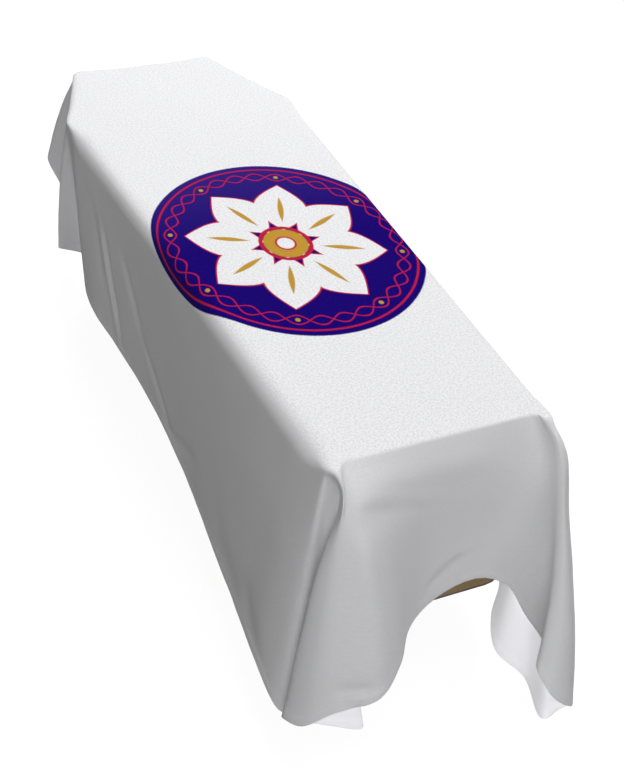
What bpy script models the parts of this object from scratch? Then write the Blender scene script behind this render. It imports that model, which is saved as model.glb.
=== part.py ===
"""A white drape hanging over a coffin that lies on two low rests.

Metres, +Z up. The foot of the coffin points to -Y and the head to +Y.
The floor is at z = 0 and the origin is on it, under the middle of the drape.
"""
import math

import bmesh
import bpy
from mathutils import Vector

# Driving dimensions of the drape
LENGTH = 1.950          # top of the drape, head edge to foot edge
HEAD_WIDTH = 0.408
SHOULDER_WIDTH = 0.641
FOOT_WIDTH = 0.501
SHOULDER_FROM_HEAD = 0.337
TOP_HEIGHT = 0.722      # top of the drape above the floor
CLOTH = 0.002           # thickness of the drape
CORNER_RADIUS = 0.030   # of the drape's top outline, seen from above
CORNER_SETBACK = 0.003
CORNER_RUN = 0.0066
CORNER_EASE = 0.012
CORNER_BLEND = 0.120    # distance from a corner where an edge has its own setback
MIDDLE = (0.0035, 0.0070)   # middle of the drape's reach, from the middle of its top

# Spacing of the drape's faces
FINE_STEP = 0.036       # between columns at the hem of a fold
PLAIN_STEP = 0.100      # between columns at the hem where it hangs plainly
FINE_REACH = 0.060      # fine columns go on for this much past a corner
BUNCHED = 0.6           # a fold's top edge is shorter than this share of its hem
FIRST_ROW = 0.014       # least distance from the bend to the first hanging row
HANG_STEPS = 6          # rows of faces between there and the hem
WELD = 0.00001

# Driving dimensions of the coffin and its two rests
SIDE_AIR = 0.010        # edge of the drape's top to the coffin's sides
FOOT_AIR = 0.020        # the drape's corners stand this much further past the coffin's foot
COFFIN_HEIGHT = 0.475   # middle of the cloth to the coffin's underside
LID_HEIGHT = 0.075
LID_SETBACK = 0.058     # how far the lid's moulded edge falls back at the top
LID_MOULDING = 0.078    # how far that edge runs, along its slope
LID_RUN = 0.128         # how far it would take to turn straight down
LID_RADIUS = 0.090      # of the coffin's corners, seen from above
LID_STEPS = 5
TAPER = 0.012           # each side draws in by this much at the bottom
SEAT = 0.0004           # gap between two pieces that rest on each other
REST_PLACES = {"foot": -0.420, "head": 0.560}
REST_WIDTH = 0.400
RAIL = (0.070, 0.045)   # depth and height of a rest's top rail
LEG = (0.190, 0.030)    # depth and thickness of a leg board
LEG_INSET = 0.020
STRETCHER = (0.022, 0.060)
STRETCHER_HEIGHT = 0.100
BEVEL = 0.003

# Colours
WHITE = (0.86, 0.86, 0.88, 1.0)
WOOD = (0.26, 0.15, 0.05, 1.0)
DARK_WOOD = (0.20, 0.12, 0.05, 1.0)

HALF = LENGTH / 2
CORNERS = {
    "FL": (-FOOT_WIDTH / 2, -HALF),
    "SL": (-SHOULDER_WIDTH / 2, HALF - SHOULDER_FROM_HEAD),
    "HL": (-HEAD_WIDTH / 2, HALF),
    "HR": (HEAD_WIDTH / 2, HALF),
    "SR": (SHOULDER_WIDTH / 2, HALF - SHOULDER_FROM_HEAD),
    "FR": (FOOT_WIDTH / 2, -HALF),
}
ORDER = ("FL", "SL", "HL", "HR", "SR", "FR")

# The cloth is pulled a little askew, so its corners lie this far off the coffin's.
SKEW = {
    "FL": (0.000, 0.000),
    "SL": (0.004, 0.028),
    "HL": (-0.003, 0.012),
    "HR": (0.000, -0.005),
    "SR": (0.003, -0.024),
    "FR": (0.000, 0.000),
}

# Each edge of the top is named by the corner that it starts from, going round.
# setback: how far in from its edge the cloth leaves the flat, in metres
# run:     how far it then takes to turn down
# ease:    half the length of the soft bend there
EDGES = {
    # edge  setback run    ease
    "FL": (0.026, 0.057, 0.020),
    "SL": (0.010, 0.022, 0.016),
    "HL": (0.014, 0.031, 0.016),
    "HR": (0.010, 0.022, 0.016),
    "SR": (0.014, 0.031, 0.016),
    "FR": (0.048, 0.260, 0.008),
}

# Each row is one crest or hollow of the hanging cloth, in centimetres.
# corner, on:  the row starts on the top edge, this far before or past that corner
# x, y, drop:  where its hem hangs, from the middle of the top
# belly:       how far it bows out half way down
FOLDS = (
    # name                      corner  on      x       y    drop  belly
    ("foot arch, left",          "FL", -20.0,  -2.0,  -99.0, 42.0, 0.0),
    ("left swell starts",        "FL", -12.0,  -7.9, -103.0, 42.8, 0.6),
    ("left swell",               "FL",  -7.0, -12.5, -109.0, 45.3, 1.0),
    ("left swell crest",         "FL",  -4.6, -19.5, -114.0, 47.8, 1.2),
    ("left swell turns",         "FL",  -3.2, -28.6, -112.0, 50.5, 1.2),
    ("left fold, front",         "FL",  -2.0, -35.1, -108.5, 55.5, 0.8),
    ("left fold, edge",          "FL",  -1.1, -36.9, -104.5, 56.5, 0.4),
    ("left fold, turned in",     "FL",  -0.3, -31.2, -102.4, 62.4, 0.0),
    ("left hem, underneath",     "FL",   0.2, -25.7, -104.2, 64.2, 0.0),
    ("left corner of the cloth", "FL",   0.6, -18.0, -105.0, 67.0, 0.0),
    ("left corner, turned back", "FL",   1.4, -19.6, -101.0, 63.6, 0.0),
    ("left fold, inside",        "FL",   2.2, -26.0,  -99.0, 63.5, 0.0),
    ("side meets the fold",      "FL",   3.4, -35.0,  -99.8, 60.5, 0.2),
    ("left side, flare",         "FL",   9.0, -36.9,  -92.0, 56.0, 0.6),
    ("left side, knee",          "FL",  21.0, -35.3,  -75.4, 55.8, 0.6),
    ("left side, thigh",         "FL",  40.0, -33.4,  -56.0, 55.3, 0.3),
    ("left side, hip",           "FL",  73.0, -30.8,  -25.0, 53.5, 0.0),
    ("left side, waist",         "FL", 104.0, -30.0,    6.0, 51.8, 0.0),
    ("left side, elbow",         "FL", 128.0, -31.2,   30.0, 50.5, 0.2),
    ("left side, crease",        "SL", -19.0, -32.6,   46.0, 49.3, 0.4),
    ("left shoulder, front",     "SL",  -8.0, -32.2,   55.5, 48.6, 0.6),
    ("left shoulder, turned",    "SL",  -3.5, -29.5,   67.0, 48.5, 0.3),
    ("left shoulder, inside",    "SL",   0.0, -26.8,   78.5, 49.4, 0.0),
    ("left shoulder fold",       "SL",   3.0, -33.4,   79.5, 46.8, 0.8),
    ("behind that fold",         "SL",  10.0, -26.8,   88.0, 53.0, 0.2),
    ("left head, inside",        "HL",  -5.0, -23.5,   97.0, 60.0, 0.0),
    ("left head corner",         "HL",  -2.0, -20.5,  107.0, 65.0, 0.0),
    ("left head, edge",          "HL",   0.2, -23.0,  116.0, 46.0, 0.8),
    ("left head, swell",         "HL",   1.6, -25.2,  119.0, 35.5, 2.2),
    ("left head, swell turns",   "HL",   2.8, -22.6,  120.3, 35.0, 2.2),
    ("left head, swell ends",    "HL",   6.5, -11.5,  108.5, 38.0, 0.8),
    ("head, middle",             "HL",  17.0,  -2.0,   98.6, 39.8, 0.0),
    ("right head, swell starts", "HR",  -8.0,  10.0,  101.0, 40.0, 0.5),
    ("right head, swell",        "HR",  -3.0,  18.5,  113.5, 41.0, 1.2),
    ("right head, edge",         "HR",  -0.6,  27.5,  115.0, 47.5, 1.0),
    ("right head, turned in",    "HR",   0.8,  28.5,  107.0, 61.0, 0.2),
    ("right head corner",        "HR",   2.4,  25.5,  101.5, 66.5, 0.0),
    ("right head, inside",       "HR",   6.0,  25.8,   94.0, 62.0, 0.0),
    ("behind the shoulder",      "HR",  18.0,  29.8,   83.0, 56.5, 0.2),
    ("right shoulder fold",      "SR",  -7.0,  37.6,   73.5, 51.5, 0.7),
    ("right shoulder, front",    "SR",   5.0,  33.2,   58.0, 52.3, 0.3),
    ("right side, elbow",        "SR",  28.0,  33.6,   35.0, 53.3, 0.4),
    ("right side, waist",        "SR",  62.0,  30.4,    1.5, 54.3, 0.0),
    ("right side, hip",          "SR",  93.0,  30.8,  -29.0, 55.6, 0.4),
    ("right side, knee",         "SR", 120.0,  28.4,  -56.5, 57.0, 0.0),
    ("right side, hollow",       "FR", -12.0,  26.6,  -84.5, 58.6, 0.4),
    ("right side tucks under",   "FR",  -5.0,  20.8,  -91.4, 61.0, 2.2),
    ("right fold, inside",       "FR",  -2.8,  18.8,  -97.6, 64.8, 1.0),
    ("right fold, hollow",       "FR",  -1.8,  23.4, -103.6, 69.4, 1.4),
    ("right corner of the cloth", "FR", -1.0,  22.9, -114.8, 71.6, 1.6),
    ("right fold, turned in",    "FR",  -0.2,  26.8, -114.0, 71.0, 1.8),
    ("right fold, edge",         "FR",   0.6,  29.2, -114.8, 69.4, 1.6),
    ("right tip",                "FR",   1.3,  27.6, -116.9, 67.2, 1.6),
    ("right curl, front",        "FR",   2.0,  19.2, -118.0, 57.2, 1.4),
    ("right curl, edge",         "FR",   2.7,  17.9, -114.5, 52.7, 1.0),
    ("right curl, turned in",    "FR",   3.5,  22.8, -110.2, 53.3, 0.4),
    ("right flank",              "FR",   4.6,  22.0, -102.0, 50.4, 0.2),
    ("right flank ends",         "FR",   7.0,  18.5,  -98.6, 43.4, 0.0),
    ("foot arch, top",           "FR",  14.0,  13.0,  -97.8, 39.9, 0.0),
)

# Some rows don't hang straight. They stand off in x and y, in centimetres:
# jut:   just under the top edge
# sway:  half way down
BENDS = {
    # row                          jut x  jut y  sway x  sway y
    "left fold, front":            (0.8, -0.9, 0.0, 0.0),
    "left fold, edge":             (1.9, -1.1, 0.0, 0.0),
    "left fold, turned in":        (2.0, 0.1, 0.0, 0.0),
    "left hem, underneath":        (2.0, 0.3, 0.0, 0.0),
    "left corner of the cloth":    (2.0, 0.4, 0.0, 0.0),
    "left corner, turned back":    (1.4, 0.5, 0.0, 0.0),
    "left fold, inside":           (0.5, 0.3, 0.0, 0.0),
    "right fold, turned in":       (1.4, 0.0, 0.5, 0.0),
    "right fold, edge":            (1.8, -0.5, 0.9, 0.0),
    "right tip":                   (1.6, -0.8, 0.8, 0.0),
    "right curl, front":           (1.2, -0.6, 2.6, 0.4),
    "right curl, edge":            (1.0, -0.3, 3.2, 0.5),
    "right curl, turned in":       (1.0, 0.0, 1.8, 0.0),
    "right flank":                 (0.7, 0.0, 1.3, -0.6),
}
JUT_PART = 0.12         # share of the fall at which they jut out the most


def corner_shapes(sharp):
    """Return each corner's place, its two edge directions, its turn and where it starts."""
    shapes = []
    walked = 0.0
    for i, name in enumerate(ORDER):
        here = sharp[i]
        after = sharp[(i + 1) % len(sharp)] - here
        before = here - sharp[i - 1]
        turn = before.angle(after)
        shapes.append({
            "name": name,
            "place": here,
            "before": before.normalized(),
            "after": after.normalized(),
            "turn": turn,
            "start": walked,
            "length": after.length,
        })
        walked += after.length
    return shapes, walked


COFFIN, COFFIN_AROUND = corner_shapes([
    Vector((CORNERS[name][0], max(CORNERS[name][1], FOOT_AIR - HALF))) for name in ORDER
])
SHAPES, AROUND = corner_shapes([Vector(CORNERS[name]) + Vector(SKEW[name]) for name in ORDER])
STARTS = {shape["name"]: shape["start"] for shape in SHAPES}


def outward(direction):
    """Return the direction that points away from the coffin, left of the way round."""
    return Vector((-direction.y, direction.x))


def edge_place(distance, shapes, around, radius):
    """Return the place at a distance round an outline with round corners, and the way out."""
    nearest = None
    for shape in shapes:
        off = (distance - shape["start"] + around / 2) % around - around / 2
        reach = radius * math.tan(shape["turn"] / 2)
        if abs(off) <= reach:
            angle = shape["turn"] * (off / reach + 1) / 2
            first = outward(shape["before"])
            centre = shape["place"] - shape["before"] * reach - first * radius
            out = Vector((
                first.x * math.cos(angle) + first.y * math.sin(angle),
                first.y * math.cos(angle) - first.x * math.sin(angle),
            ))
            return centre + out * radius, out
        if off > 0 and (nearest is None or off < nearest[0]):
            nearest = (off, shape)
    off, shape = nearest
    return shape["place"] + shape["after"] * off, outward(shape["after"])


def edge_bend(distance):
    """Return the setback, run and ease of the cloth's bend at a distance round."""
    corner = (CORNER_SETBACK, CORNER_RUN, CORNER_EASE)
    for shape in SHAPES:
        off = (distance - shape["start"]) % AROUND
        if off < shape["length"]:
            near = min(off, shape["length"] - off, CORNER_BLEND) / CORNER_BLEND
            full = near * near * (3 - 2 * near)
            return [a + (b - a) * full for a, b in zip(corner, EDGES[shape["name"]])]
    return corner


def slopes(places, values, wrap, even):
    """Return the slope at each value of a series that closes on itself after the wrap."""
    count = len(values)
    result = []
    for i in range(count):
        gap_before = places[i] - places[i - 1] if i else places[count] - places[count - 1]
        gap_after = places[i + 1] - places[i]
        last = values[i - 1] if i else values[-1] - wrap
        following = values[i + 1] if i + 1 < count else values[0] + wrap
        before = (values[i] - last) / gap_before
        after = (following - values[i]) / gap_after
        if not even:
            result.append((before * gap_after + after * gap_before) / (gap_before + gap_after))
        elif before * after > 0:
            result.append(2 * before * after / (before + after))
        else:
            result.append(0.0)
    return result


def smooth_series(places, values, wrap=0.0, even=False):
    """Return a function that runs smoothly through the values of a closed series."""
    tilt = slopes(places, values, wrap, even)
    count = len(values)

    def value(i, part):
        gap = places[i + 1] - places[i]
        j = (i + 1) % count
        end = values[j] + (wrap if j == 0 else 0.0)
        square = part * part
        cube = square * part
        return (values[i] * (2 * cube - 3 * square + 1) + tilt[i] * gap * (cube - 2 * square + part)
                + end * (3 * square - 2 * cube) + tilt[j] * gap * (cube - square))

    return value


def columns():
    """Return the cloth's columns, one after the other all the way round."""
    edge = [STARTS[corner] + on / 100 for _, corner, on, _, _, _, _ in FOLDS]
    edge = [edge[0] + (place - edge[0]) % AROUND for place in edge]
    hems = [Vector((x, y, -drop)) / 100 for _, _, _, x, y, drop, _ in FOLDS]
    places = [0.0]
    for i, hem in enumerate(hems):
        places.append(places[-1] + (hems[(i + 1) % len(hems)] - hem).length)
    along = smooth_series(places, edge, AROUND, True)
    across = [smooth_series(places, [hem[axis] for hem in hems]) for axis in range(3)]
    bow = smooth_series(places, [row[6] / 100 for row in FOLDS], 0.0, True)
    bends = [BENDS.get(row[0], (0.0, 0.0, 0.0, 0.0)) for row in FOLDS]
    bend = [smooth_series(places, [row[axis] / 100 for row in bends], 0.0, True) for axis in range(4)]
    closed = edge + [edge[0] + AROUND]
    result = []
    for i in range(len(FOLDS)):
        hem_run = places[i + 1] - places[i]
        edge_run = closed[i + 1] - closed[i]
        at_corner = any((closed[i] - start) % AROUND < FINE_REACH
                        or (start - closed[i + 1]) % AROUND < FINE_REACH
                        or (start - closed[i]) % AROUND < edge_run
                        for start in STARTS.values())
        plain = edge_run > BUNCHED * hem_run and not at_corner
        count = max(1, round(hem_run / (PLAIN_STEP if plain else FINE_STEP)))
        for k in range(count):
            part = k / count
            distance = along(i, part)
            place, out = edge_place(distance, SHAPES, AROUND, CORNER_RADIUS)
            setback, run, ease = edge_bend(distance)
            result.append({
                "start": place.to_3d(),
                "out": out.to_3d(),
                "reach": Vector([axis(i, part) for axis in across]) - place.to_3d(),
                "belly": bow(i, part),
                "jut": Vector((bend[0](i, part), bend[1](i, part), 0.0)),
                "sway": Vector((bend[2](i, part), bend[3](i, part), 0.0)),
                "setback": setback,
                "run": run,
                "ease": ease,
            })
    return result


def ramp(t, ease):
    """Return 0 well before the edge and t well past it, with a soft bend between the two."""
    if t <= -ease:
        return 0.0
    if t >= ease:
        return t
    return (t + ease) ** 2 / (4 * ease)


def turn_down(t, setback, run):
    """Return how far out and how far down the cloth is, t metres past its bend."""
    steep = 2 * setback / run

    def under(y):
        return (y * math.sqrt(1 - y * y) + math.asin(y)) / 2

    left = max(0.0, 1 - t / run)
    out = setback * (1 - left * left)
    down = run / steep * (under(steep) - under(steep * left)) + max(0.0, t - run)
    return out, down


def cloth_point(column, t):
    """Return the place of the cloth in a column, t metres past its bend."""
    out, down = turn_down(ramp(t, column["ease"]), column["setback"], column["run"])
    part = down / column["reach"].length
    swell = 4 * part * (1 - part)
    sideways = column["belly"] * swell + out - column["setback"] - ramp(-t, column["ease"])
    juts = (part / JUT_PART * math.exp(1 - part / JUT_PART)) ** 2
    place = column["start"] + column["reach"] * part + column["out"] * sideways
    return place + column["jut"] * juts + column["sway"] * swell


def row_places(column):
    """Return how far past the bend each row of the cloth lies in a column."""
    ease, run = column["ease"], column["run"]
    turned = max(run, ease + FIRST_ROW)
    hem = column["reach"].length + run - turn_down(run, column["setback"], run)[1]
    rows = [-ease, -ease / 3, ease / 3, ease, (ease + turned) / 2, turned]
    return rows + [turned + (hem - turned) * k / HANG_STEPS for k in range(1, HANG_STEPS + 1)]


def wrapped(rings):
    """Build an open tube through rings of places that all have the same count."""
    around = len(rings[0])
    along = len(rings) - 1
    bm = bmesh.new()
    bmesh.ops.create_grid(bm, x_segments=around, y_segments=along, size=1.0)
    for vert in bm.verts:
        i = round((vert.co.x + 1) / 2 * around) % around
        j = round((vert.co.y + 1) / 2 * along)
        vert.co = rings[j][i]
    bmesh.ops.remove_doubles(bm, verts=bm.verts, dist=WELD)
    return bm


def drape_mesh():
    """Build the drape as one open sheet, its top at z = 0."""
    sheet = columns()
    rows = [row_places(column) for column in sheet]
    rings = []
    for j in range(len(rows[0])):
        rings.append([cloth_point(column, row[j]) for column, row in zip(sheet, rows)])
    bm = wrapped(rings)
    rim = [e for e in bm.edges if e.is_boundary and all(abs(v.co.z) < WELD for v in e.verts)]
    bmesh.ops.holes_fill(bm, edges=rim, sides=0)
    bmesh.ops.recalc_face_normals(bm, faces=bm.faces)
    return bm


def outline_ring(depth, inset):
    """Return the places of the coffin's outline at a depth, drawn in by the inset."""
    ring = []
    for shape in COFFIN:
        reach = LID_RADIUS * math.tan(shape["turn"] / 2)
        for k in range(LID_STEPS + 1):
            distance = shape["start"] + reach * (2 * k / LID_STEPS - 1)
            place, out = edge_place(distance, COFFIN, COFFIN_AROUND, LID_RADIUS)
            place -= out * inset
            ring.append((place.x, place.y, -depth))
    return ring


def coffin_block(levels):
    """Build a six-sided block from levels of depth and inset."""
    bm = wrapped([outline_ring(depth, inset) for depth, inset in levels])
    bmesh.ops.holes_fill(bm, edges=[e for e in bm.edges if e.is_boundary], sides=0)
    bmesh.ops.recalc_face_normals(bm, faces=bm.faces)
    return bm


def box(size, centre):
    """Build a box of a size at a centre."""
    bm = bmesh.new()
    bmesh.ops.create_cube(bm, size=1.0)
    bmesh.ops.scale(bm, vec=size, verts=bm.verts)
    bmesh.ops.translate(bm, vec=centre, verts=bm.verts)
    return bm


def material(name, colour, roughness):
    """Return a plain material."""
    made = bpy.data.materials.new(name)
    made.use_nodes = True
    shader = made.node_tree.nodes["Principled BSDF"]
    shader.inputs["Base Color"].default_value = colour
    shader.inputs["Roughness"].default_value = roughness
    shader.inputs["Metallic"].default_value = 0.0
    return made


def add(name, bm, height, skin, collection, smooth=False, bevel=0.0):
    """Turn a bmesh into a named object whose z = 0 lies at a height."""
    mesh = bpy.data.meshes.new(name)
    bm.to_mesh(mesh)
    bm.free()
    thing = bpy.data.objects.new(name, mesh)
    thing.location = (-MIDDLE[0], -MIDDLE[1], height)
    mesh.materials.append(skin)
    collection.objects.link(thing)
    if smooth:
        mesh.shade_smooth()
    if bevel:
        edges = thing.modifiers.new("Edges", "BEVEL")
        edges.width = bevel
        edges.segments = 1
        edges.limit_method = "ANGLE"
    return thing


def main():
    for old in list(bpy.data.objects):
        bpy.data.objects.remove(old, do_unlink=True)
    collection = bpy.data.collections.new("coffin drape")
    bpy.context.scene.collection.children.link(collection)
    white = material("white cloth", WHITE, 0.85)
    wood = material("coffin wood", WOOD, 0.45)
    dark = material("rest wood", DARK_WOOD, 0.6)

    drape = add("drape", drape_mesh(), TOP_HEIGHT - CLOTH / 2, white, collection, smooth=True)
    sheet = drape.modifiers.new("Cloth", "SOLIDIFY")
    sheet.thickness = CLOTH
    sheet.offset = 0.0

    lid_high = CLOTH / 2 + SEAT
    lid_levels = [(lid_high + LID_HEIGHT, SIDE_AIR)]
    for k in range(LID_STEPS):
        out, down = turn_down(LID_MOULDING * (1 - k / LID_STEPS), LID_SETBACK, LID_RUN)
        lid_levels.append((lid_high + down, SIDE_AIR + LID_SETBACK - out))
    lid_levels.append((lid_high, SIDE_AIR + LID_SETBACK))
    add("coffin_lid", coffin_block(lid_levels), TOP_HEIGHT - CLOTH / 2, wood, collection)

    body_levels = [(COFFIN_HEIGHT, SIDE_AIR + TAPER), (lid_high + LID_HEIGHT + SEAT, SIDE_AIR)]
    add("coffin_body", coffin_block(body_levels), TOP_HEIGHT - CLOTH / 2, wood, collection)

    under = TOP_HEIGHT - CLOTH / 2 - COFFIN_HEIGHT
    rail_low = under - SEAT - RAIL[1]
    leg_high = rail_low - SEAT
    for name, y in REST_PLACES.items():
        rail = box((REST_WIDTH, RAIL[0], RAIL[1]), (0, y, rail_low + RAIL[1] / 2))
        add(name + "_rest_rail", rail, 0.0, dark, collection, bevel=BEVEL)
        for side, sign in (("left", -1), ("right", 1)):
            x = sign * (REST_WIDTH / 2 - LEG[1] / 2 - LEG_INSET)
            leg = box((LEG[1], LEG[0], leg_high), (x, y, leg_high / 2))
            add(name + "_rest_leg_" + side, leg, 0.0, dark, collection, bevel=BEVEL)
        span = REST_WIDTH - 2 * (LEG[1] + LEG_INSET + SEAT)
        stretcher = box((span, STRETCHER[0], STRETCHER[1]), (0, y, STRETCHER_HEIGHT))
        add(name + "_rest_stretcher", stretcher, 0.0, dark, collection, bevel=BEVEL)


main()
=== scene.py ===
import math

import bmesh
import bpy
from mathutils import Matrix, Vector, noise
from mathutils.geometry import delaunay_2d_cdt, intersect_point_line


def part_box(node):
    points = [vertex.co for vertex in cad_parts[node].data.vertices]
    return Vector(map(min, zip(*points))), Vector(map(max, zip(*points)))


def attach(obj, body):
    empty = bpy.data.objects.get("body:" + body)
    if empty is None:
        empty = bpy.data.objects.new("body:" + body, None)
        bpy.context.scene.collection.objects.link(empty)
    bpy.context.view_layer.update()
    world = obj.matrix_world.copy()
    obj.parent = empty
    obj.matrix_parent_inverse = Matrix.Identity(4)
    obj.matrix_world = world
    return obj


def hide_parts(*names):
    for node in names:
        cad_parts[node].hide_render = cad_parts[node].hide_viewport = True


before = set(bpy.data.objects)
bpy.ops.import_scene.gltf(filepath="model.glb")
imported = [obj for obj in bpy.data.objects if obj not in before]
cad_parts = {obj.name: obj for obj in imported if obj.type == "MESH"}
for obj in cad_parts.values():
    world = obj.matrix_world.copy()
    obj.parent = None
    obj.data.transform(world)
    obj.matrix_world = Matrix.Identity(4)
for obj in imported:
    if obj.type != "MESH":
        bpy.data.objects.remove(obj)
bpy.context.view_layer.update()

# Metres and degrees. The foot of the coffin points to -Y, the floor is at z = 0.
DRAPE_LOW, DRAPE_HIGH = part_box("drape")
MIDDLE = Vector((0.0035, 0.0070, 0.0))      # middle of the drape's reach, from the middle of its top
TOP_HEIGHT = DRAPE_HIGH[2]
CAD_CLOTH = 0.002

LENGTH = 1.950
HEAD_WIDTH = 0.408
SHOULDER_WIDTH = 0.641
FOOT_WIDTH = 0.501
SHOULDER_FROM_HEAD = 0.337
CORNER_RADIUS = 0.030
CORNER_SETBACK = 0.003
CORNER_RUN = 0.0066
CORNER_EASE = 0.012

# Spacing of the cloth's faces, and how many rows of them its bend, its turn and its fall have
FINE_STEP = 0.012
PLAIN_STEP = 0.026
BUNCHED = 0.6           # where the edge takes less of its hem than this, the steps are fine
FINE_REACH = 0.060      # and this near a corner of the top
CREASED_SIDE = (0.12, 0.55)     # and where the hem hangs left of this x and in front of this y
BEND_ROWS = 6
TURN_ROWS = 15
TURN_LEAST = 0.014
HANG_ROWS = 43
TOP_STEP = 0.011
TOP_MARGIN = 0.008

# Where the foot's bend is pinched, the cloth stands up a little
PINCH_HEIGHT = 0.0012
PINCH_WIDTH = 0.005
PINCH_RUN = 0.080       # only bends that run for longer are pinched

# The cloth and its hem
SHEET = 0.0015
HEM_SHEET = 0.0025
HEM_WIDTH = 0.020
HEM_STEP = 0.002
SEAM_IN = 0.004         # from the hem's upper fold
SEAM_HALF = (0.0005, 0.0012)    # half the seam's width, full and faded out
STITCH = 0.0045
KNIT = (0.0021, 0.0017)         # width and height of one loop

# The cloth is slightly uneven: how often in a metre, and by how much
UNEVEN = ((7.0, 0.0016), (19.0, 0.0005))
UNEVEN_FROM = 0.10      # depth below the top from which it is fully so
UNEVEN_TOP = 0.25       # share of it on the top, which only rises
TOP_SKIN = 0.001        # what lies no deeper than this counts as the top

# The medallion lies on the cloth, from the middle of the top
MEDALLION_PLACE = (0.0, -0.141)
MEDALLION_RADII = (0.317, 0.405)
PETALS = 8

# Its parts, as shares of its radius. A line has its radius and half its width.
SOFT = 0.005            # half the width over which a printed edge fades
RIM_LINE = (0.945, 0.008)
WAVE_RADIUS = 0.845
WAVE_SWING = 0.045
WAVE_HALF = 0.006
DOT_SIZE = 0.018
PETAL = (0.15, 0.74, 0.205)     # where it starts and ends, and half its width
PETAL_HALF = 0.007
VEIN = (0.26, 0.58, 0.022)
HEART_LINE = (0.185, 0.016)
HEART = 0.165
EYE_LINE = (0.072, 0.008)
EYE = 0.070

# The camera, from the middle of the top
CAMERA_PLACE = (-1.1617, -2.8277, 1.7254)
CAMERA_AZIMUTH = 24.909
CAMERA_ELEVATION = 36.440
CAMERA_ROLL = 2.466
CAMERA_LENS = 43.272
SENSOR_HEIGHT = 24.0

HALF = LENGTH / 2
CORNERS = {
    "FL": (-FOOT_WIDTH / 2, -HALF),
    "SL": (-SHOULDER_WIDTH / 2, HALF - SHOULDER_FROM_HEAD),
    "HL": (-HEAD_WIDTH / 2, HALF),
    "HR": (HEAD_WIDTH / 2, HALF),
    "SR": (SHOULDER_WIDTH / 2, HALF - SHOULDER_FROM_HEAD),
    "FR": (FOOT_WIDTH / 2, -HALF),
}
ORDER = ("FL", "SL", "HL", "HR", "SR", "FR")

# The cloth is pulled a little askew, so its corners lie this far off the coffin's.
SKEW = {
    "FL": (0.000, 0.000),
    "SL": (0.004, 0.028),
    "HL": (-0.003, 0.012),
    "HR": (0.000, -0.005),
    "SR": (0.003, -0.024),
    "FR": (0.000, 0.000),
}

# Each edge of the top is named by the corner that it starts from, going round.
# setback: how far in from its edge the cloth leaves the flat, in metres
# run:     how far it then takes to turn down
# ease:    half the length of the soft bend there
# blend:   how far from a corner the edge has all of its own setback
EDGES = {
    # edge  setback run    ease   blend
    "FL": (0.026, 0.057, 0.020, 0.120),
    "SL": (0.010, 0.022, 0.016, 0.120),
    "HL": (0.014, 0.031, 0.016, 0.120),
    "HR": (0.010, 0.022, 0.016, 0.120),
    "SR": (0.014, 0.031, 0.016, 0.120),
    "FR": (0.034, 0.184, 0.008, 0.045),
}

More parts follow.
